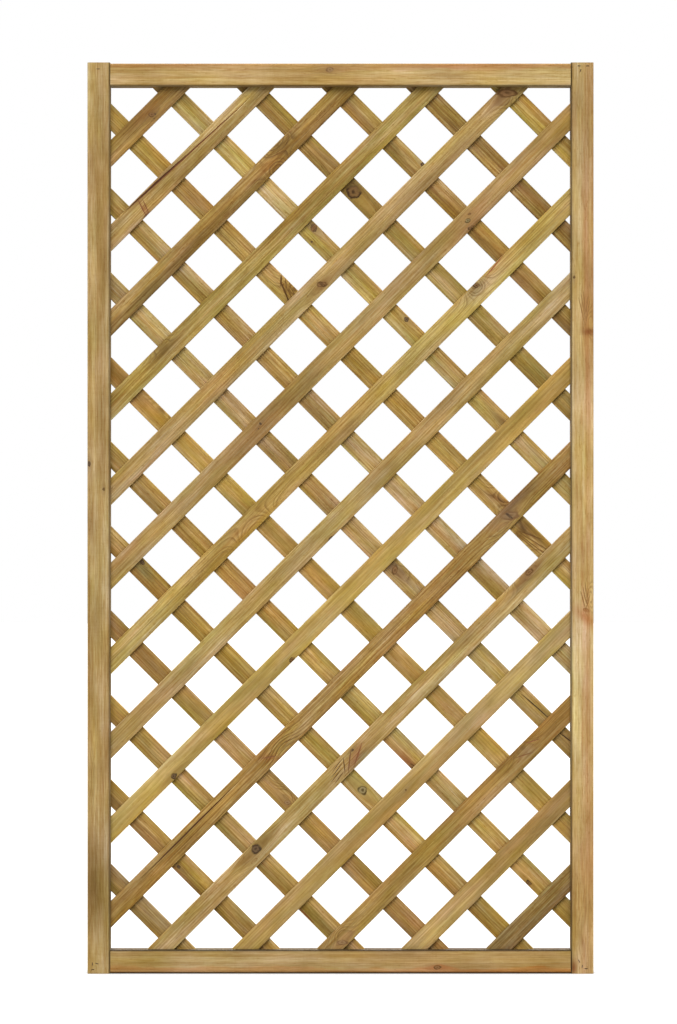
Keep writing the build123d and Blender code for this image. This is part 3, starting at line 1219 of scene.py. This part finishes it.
# The laths of each layer, from the top corner down, with places measured from the foot of the line that
# is drawn square to the lath from the middle of the panel
FRONT_BOARDS = (
    Board(Tone.UMBER, (30, 40), lightness=0.96, low_tone=Tone.TAN, low_edge=-9, marks=(
        Stain(290, 6, 60, 12, "96662F", 0.7), Knot(300, -3, 3.6, KnotKind.RED, 1.5, -45),
        Knot(306, -5, 1.4, KnotKind.DARK, 1.0), Knot(298, -11, 1.4, KnotKind.DARK, 1.0),
    )),
    Board(
        Tone.CREAM, (26, -52), 4.6, contrast=0.4, figure=0.95, lightness=1.08, low_tone=Tone.FLAX,
        low_edge=0,
        marks=(
            Split(470, 1, 118, 16, 2.2, "6E3E1E"), Split(300, 10, 118, 18, 2.6, "4E2C14"),
            Stain(158, -8, 6, 15, "A87450", 0.75, -12), Split(163, 18, 150, -20, 1.7, "8A5634"),
            Split(170, 12, 158, -20, 1.5, "8A5634"), Stain(152, -19, 8, 4, "6E4024", 0.8),
            Stain(430, -8, 120, 9, "A08656", 0.5), Stain(80, 10, 120, 8, "A0804C", 0.4),
        ),
    ),
    Board(Tone.TAN, (40, 60), 6.0, figure=1.0, lightness=1.06, low_tone=Tone.UMBER, low_edge=-1, marks=(
        Swirl(400, -24, 32, 20, -36, 1.2), Swirl(434, 24, 40, 18, 40, 1.0),
        Stain(446, 6, 46, 12, "7A5426", 0.6), Stain(396, -4, 34, 14, "D49E58", 0.9),
        Stain(400, -21, 9, 5, "7E5428", 0.7), Stain(60, -12, 160, 10, "77602E", 0.6),
    )),
    Board(Tone.OLIVE, (34, 64), figure=0.95, lightness=1.12, marks=(
        Stain(-10, 5, 40, 9, "6E4E22", 0.7), Swirl(-10, 20, 30, 12, 16, 0.5),
    )),
    Board(Tone.SAND, (28, 58), 4.8, figure=0.75, lightness=1.05, marks=(
        Stain(303, -6, 34, 12, "8C6A3C", 0.4), Knot(301, -6, 4.6, KnotKind.RED, 2.0, -45),
        Knot(301, -6, 1.8, KnotKind.BROWN, 1.8, -45), Swirl(290, -14, 40, 14, -10, 0.3),
        Stain(824, 8, 26, 15, "6E5026", 0.8), Swirl(812, -24, 26, 16, -20, 0.8),
        Knot(828, 3, 7.0, KnotKind.RED, 2.4, -45),
    )),
    Board(Tone.SAND, (44, 70), 4.0, contrast=0.4, figure=0.75, lightness=0.9, marks=(
        Stain(592, -5, 50, 16, "AC7A44", 0.6), Knot(594, -2, 3.4, KnotKind.GREY_GREEN, 1.5, -30),
        Knot(606, 4, 2.4, KnotKind.RED, 1.3, -30), Knot(582, 4, 2.2, KnotKind.PALE, 1.3, -30),
        Knot(589, -18, 4.6, KnotKind.BROWN, 1.4, -30), Knot(20, 4, 2.0, KnotKind.DARK, 1.0),
        Knot(10, 0, 1.3, KnotKind.DARK, 1.0), Stain(0, 0, 150, 18, "866440", 0.55),
    )),
    Board(Tone.STRAW, (30, -62), 5.2, contrast=0.6, figure=0.8, lightness=0.98, marks=(
        Swirl(513, 16, 28, 17, -38, 0.6), Stain(510, 8, 30, 12, "94825A", 0.75),
        Knot(515, 14, 3.6, KnotKind.BROWN, 1.7, -45), Split(600, 19, 536, 12, 1.8, "A05A38"),
        Swirl(-135, -26, 50, 26, 56, 0.5), Stain(130, -8, 70, 12, "9A7C48", 0.5),
    )),
    Board(Tone.CREAM, (36, 58), contrast=0.5, figure=0.8, lightness=0.91, marks=(
        Knot(-43, -19, 2.8, KnotKind.BROWN, 1.8),
    )),
    Board(Tone.STRAW, (60, 46), 4.8, contrast=0.3, figure=0.5, lightness=0.9, marks=(
        Knot(-266, -16, 4.2, KnotKind.BROWN, 1.2), Knot(-594, -13, 4.6, KnotKind.DARK, 1.2),
    )),
    Board(Tone.TAN, (32, 60), 5.0, contrast=0.65, figure=1.15, lightness=0.92, marks=(
        Stain(268, 12, 70, 9, "6A4A2A", 0.75), Swirl(211, -10, 34, 14, -16, 0.5),
        Stain(211, -2, 20, 7, "B88E5C", 0.6, -30), Knot(241, -1, 7.2, KnotKind.PINK, 2.2, -45),
        Stain(241, -1, 12, 6, "C09A70", 0.5, -45), Knot(239, 0, 2.1, KnotKind.DARK, 1.2, -45),
        Stain(-435, -3, 20, 9, "B07A50", 0.7, -40), Swirl(-400, 0, 34, 26, 12, 0.5),
        Split(-448, 8, -420, -12, 1.6, "865634"), Split(-505, 7, -790, 8, 2.4),
    )),
    Board(
        Tone.SAND, (30, -50), contrast=0.4, figure=0.85, lightness=0.95, low_tone=Tone.CREAM, low_edge=0,
        marks=(
            Knot(-581, 7, 7.6, KnotKind.DARK, 1.1), Swirl(-604, -6, 40, 14, 10, 0.2),
            Knot(-600, -4, 3.6, KnotKind.PALE, 1.8), Stain(178, 6, 44, 12, "90683A", 0.6),
            Knot(188, 12, 4.2, KnotKind.RED, 1.8, -10), Swirl(166, 22, 34, 18, -22, 0.5),
            Stain(-313, -3, 32, 9, "B48258", 0.85, 25), Stain(-300, -11, 14, 7, "A29668", 0.7),
            Split(-282, 8, -330, -16, 1.8, "8A5434"), Split(-308, 14, -346, -16, 2.0, "7E5636"),
            Knot(-308, 10, 2.0, KnotKind.DARK, 1.3), Split(-330, 14, -352, -14, 1.5, "5E4224"),
            Split(-334, 12, -366, 8, 1.2, "6A4C28"), Split(-338, 6, -376, 1, 1.2, "5E4224"),
            Split(-346, -1, -384, -5, 1.2, "6A4C28"), Split(-350, -8, -380, -12, 1.2, "6A4C28"),
        ),
    ),
    Board(Tone.CREAM, (38, 60), contrast=0.3, figure=0.5, lightness=0.93, marks=(
        Knot(-289, -2, 1.6, KnotKind.BROWN, 1.0),
    )),
    Board(Tone.TAN, (30, -48), 4.6, contrast=0.4, figure=0.8, lightness=0.98, marks=(
        Swirl(-580, 12, 30, 16, -18), Stain(-580, 0, 34, 12, "9C703E", 0.5),
        Knot(-591, -8, 4.4, KnotKind.PINK, 2.2, -45), Stain(-66, 3, 20, 14, "AC9268", 0.8, -35),
        Swirl(-66, 20, 30, 18, -22, 0.3), Split(-60, 16, -30, 0, 1.6, "94603C"),
        Split(-96, 10, -56, -10, 1.6, "8A6038"),
    )),
    Board(Tone.SAND, (42, -56), contrast=0.3, figure=0.5, lightness=0.95),
    Board(Tone.SEPIA, (36, 50), contrast=0.6, figure=1.2),
)
BACK_BOARDS = (
    Board(Tone.HONEY, (32, 50), lightness=0.83, low_tone=Tone.STRAW, low_edge=1),
    Board(Tone.UMBER, (40, -56), figure=1.1, lightness=1.08),
    Board(Tone.HONEY, (30, 60), lightness=0.92, low_tone=Tone.UMBER, low_edge=-1, marks=(
        Knot(-378, 15, 3.4, KnotKind.DARK, 1.6),
    )),
    Board(Tone.OLIVE, (34, 46), lightness=0.95, marks=(
        Stain(-448, 2, 18, 14, "6C5C34", 0.8), Knot(-438, -2, 10.5, KnotKind.BROWN, 1.15, 30),
    )),
    Board(Tone.HONEY, (28, -50), lightness=1.06, low_tone=Tone.STRAW, low_edge=2, marks=(
        Knot(-444, 11, 5.4, KnotKind.DARK, 1.3, -45), Knot(-444, 11, 2.6, KnotKind.RED, 1.3, -45),
        Knot(-427, -12, 1.7, KnotKind.DARK, 1.0), Knot(-186, 12, 4.0, KnotKind.DARK, 1.1),
        Knot(104, 1, 5.0, KnotKind.DARK, 1.3), Stain(90, 3, 34, 10, "7A5A2A", 0.6),
    )),
    Board(Tone.AMBER, (30, -60), 4.8, contrast=0.6, figure=1.0, lightness=1.14, marks=(
        Swirl(-385, 22, 30, 22, -39, 0.7), Stain(-392, 8, 26, 12, "7A5224", 0.6, 15),
        Split(-425, 19, -407, 0, 2.6, "5A3A16"), Split(-414, 7, -378, -8, 2.8, "5A3A16"),
        Split(-392, -2, -364, -14, 2.4, "5A3A16"), Split(-414, 19, -397, 6, 1.7, "7A5628"),
        Split(-402, 8, -366, -3, 1.7, "7A5628"), Split(-403, 19, -388, 11, 1.6, "7A5628"),
        Split(-393, 13, -358, 3, 1.6, "7A5628"), Stain(-370, -10, 10, 7, "5C3B16", 0.9),
        Swirl(200, 28, 34, 22, -34, 0.8), Stain(190, 6, 30, 7, "8E6030", 0.8, 12),
        Stain(212, 12, 14, 8, "C0964E", 0.7), Swirl(275, -28, 60, 30, 32, 0.6),
        Stain(300, 8, 60, 9, "7E5828", 0.7), Stain(270, 0, 12, 14, "6E4A20", 0.6),
        Split(264, -10, 316, 14, 1.7, "6E4A20"), Split(262, -12, 340, 6, 1.7, "7E5A2A"),
        Split(263, -14, 350, -3, 1.6, "7E5A2A"), Split(266, -16, 340, -10, 1.4, "7E5A2A"),
    )),
    Board(Tone.CREAM, (38, -60), lightness=0.97, low_tone=Tone.SAND, low_edge=0),
    Board(Tone.SAND, (34, 49), marks=(
        Stain(150, 0, 34, 12, "8C683C", 0.6), Knot(149, 0, 4.6, KnotKind.RED, 1.8, -60),
        Knot(132, 6, 2.4, KnotKind.DARK, 1.5), Swirl(164, 16, 30, 12, 14),
        Split(495, 3, 580, 9, 2.0, "45301C"), Split(605, 2, 645, 8, 2.0, "45301C"),
    )),
    Board(Tone.AMBER, (50, 62), 4.8, contrast=0.4, figure=0.7, marks=(Swirl(-402, 20, 40, 20, 22, 0.4),)),
    Board(Tone.HONEY, (30, -46), lightness=0.98, marks=(
        Stain(434, -13, 26, 8, "A06838", 0.85), Knot(450, -15, 4.0, KnotKind.RED, 2.0),
        Knot(774, -14, 3.4, KnotKind.BROWN, 1.5),
    )),
    Board(Tone.HONEY, (40, 52), lightness=0.92, low_tone=Tone.AMBER, low_edge=0, marks=(
        Stain(-204, 3, 30, 12, "8E8C58", 0.7), Knot(-216, 12, 3.6, KnotKind.DARK, 1.5),
        Knot(412, 1, 7.4, KnotKind.GREY_GREEN, 1.1),
    )),
    Board(Tone.TAN, (34, -54), marks=(
        Stain(324, -3, 24, 12, "A27A48", 0.6), Knot(324, -3, 4.2, KnotKind.PINK, 1.4, 45),
        Swirl(312, 14, 26, 14, -16),
    )),
    Board(Tone.HONEY, (44, 58), lightness=0.87, low_tone=Tone.OLIVE, low_edge=0, marks=(
        Split(480, -15, 535, -17, 1.8, "7A3C20"),
    )),
    Board(Tone.HONEY, (30, 50), lightness=0.92, low_tone=Tone.UMBER, low_edge=0, marks=(
        Knot(262, -9, 3.0, KnotKind.DARK, 1.1),
    )),
    Board(Tone.UMBER, (36, -48), lightness=1.02),
)


def main() -> None:
    """Dress the panel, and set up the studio."""
    logging.basicConfig(level=logging.INFO, format="%(name)s: %(message)s")
    shading = PineShading()
    PanelFrame(shading, MEMBER_BOARDS).build()
    lattice = Lattice(shading, FRONT_BOARDS, BACK_BOARDS)
    lattice.build()
    Fastenings(lattice).build()
    Studio().build()


if __name__ == "__main__":
    main()
